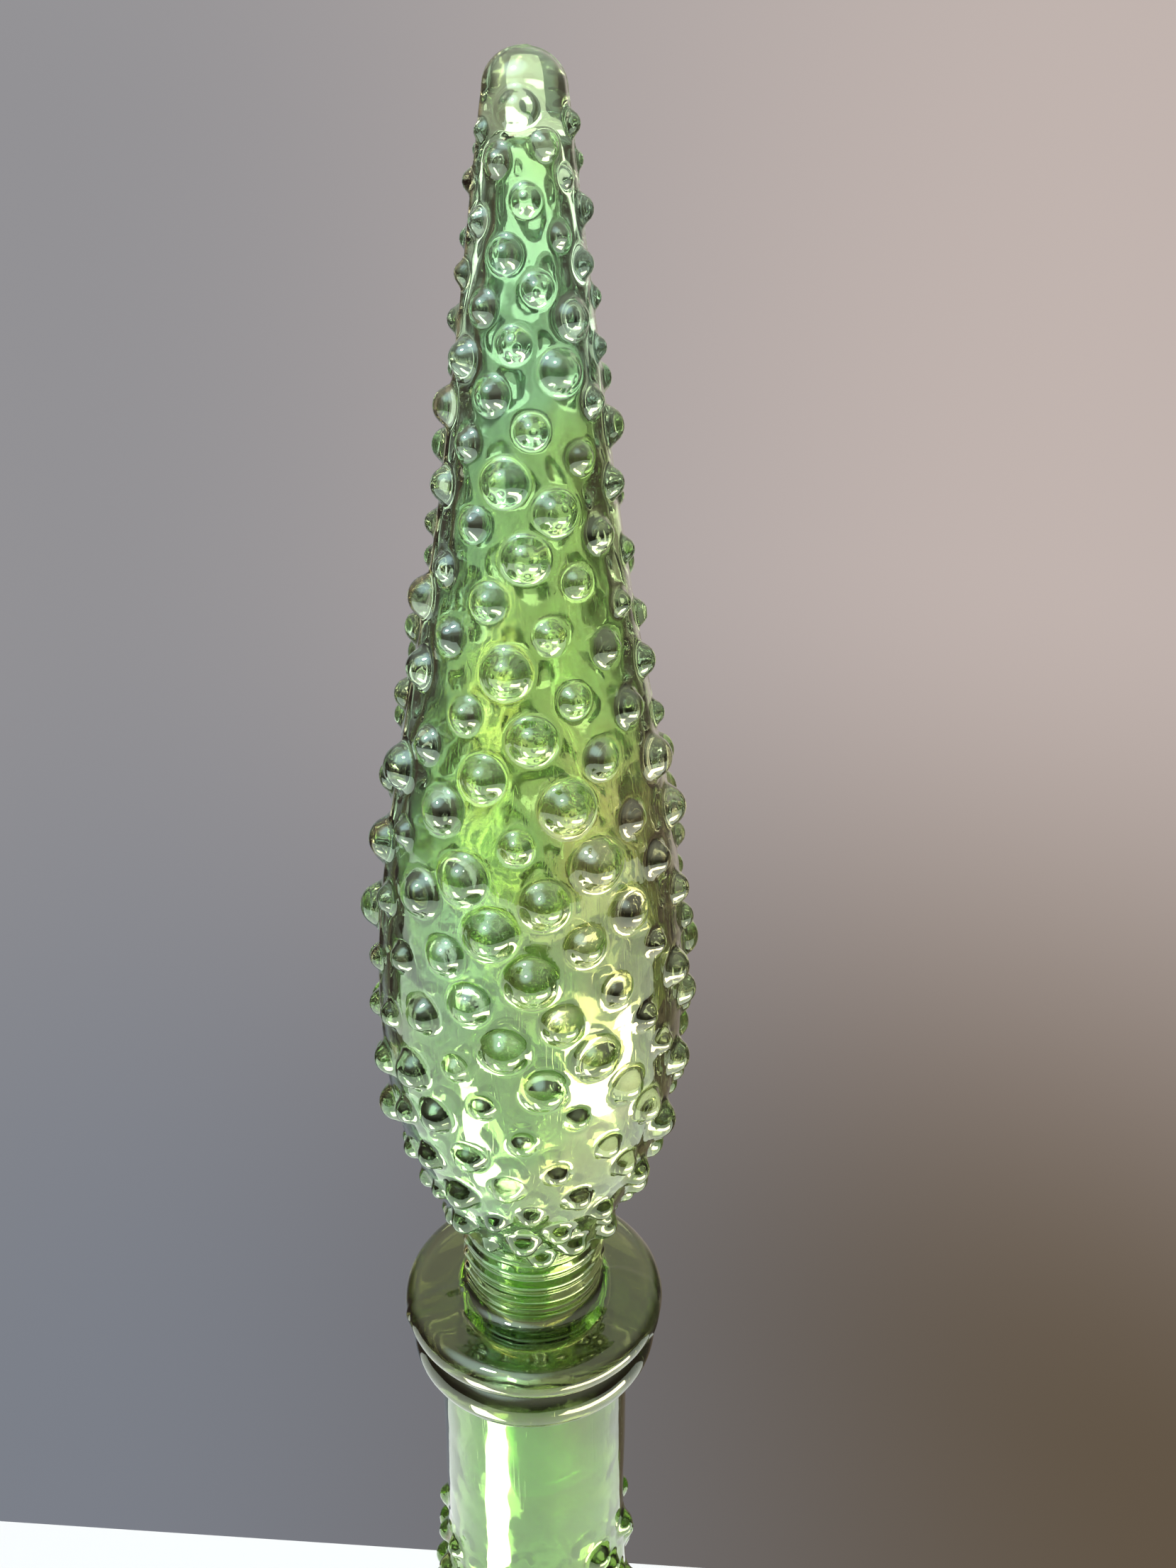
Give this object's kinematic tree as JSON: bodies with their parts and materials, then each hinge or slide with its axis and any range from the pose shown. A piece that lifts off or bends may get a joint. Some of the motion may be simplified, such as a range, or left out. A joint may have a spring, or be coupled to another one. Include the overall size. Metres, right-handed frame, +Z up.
{
  "type": "glass decanter with stopper",
  "caption": "Tall hobnail glass decanter: bulbous belly on a foot, flaring neck with a lip ring, and a hollow teardrop hobnail stopper that lifts out.",
  "frame": {"origin": "centre of the foot's resting face", "axes": "+Z up the bottle's axis to the stopper's tip; X and Y are level, and the hobnail spiral starts on +X"},
  "size_m": [0.1248, 0.1251, 0.5595],
  "materials": {
    "bottle_glass": "clear green, with an iridescent lustre",
    "stopper_glass": "clear green, with an iridescent lustre"
  },
  "bodies": {
    "bottle": {"bottle_foot": "bottle_glass", "bottle_bowl": "bottle_glass", "bottle_belly": "bottle_glass", "bottle_shoulder": "bottle_glass", "bottle_neck": "bottle_glass", "bottle_lip": "bottle_glass", "belly_hobnails": "bottle_glass", "shoulder_hobnails": "bottle_glass"},
    "stopper": {"stopper_plug": "stopper_glass", "stopper_flange": "stopper_glass", "stopper_shank": "stopper_glass", "stopper_finial": "stopper_glass", "finial_hobnails": "stopper_glass"}
  },
  "joints": [
    {"name": "stopper_lift", "type": "slide", "parent": "bottle", "child": "stopper", "axis": [0, 0, 1], "range_m": [0, 0.09]}
  ]
}
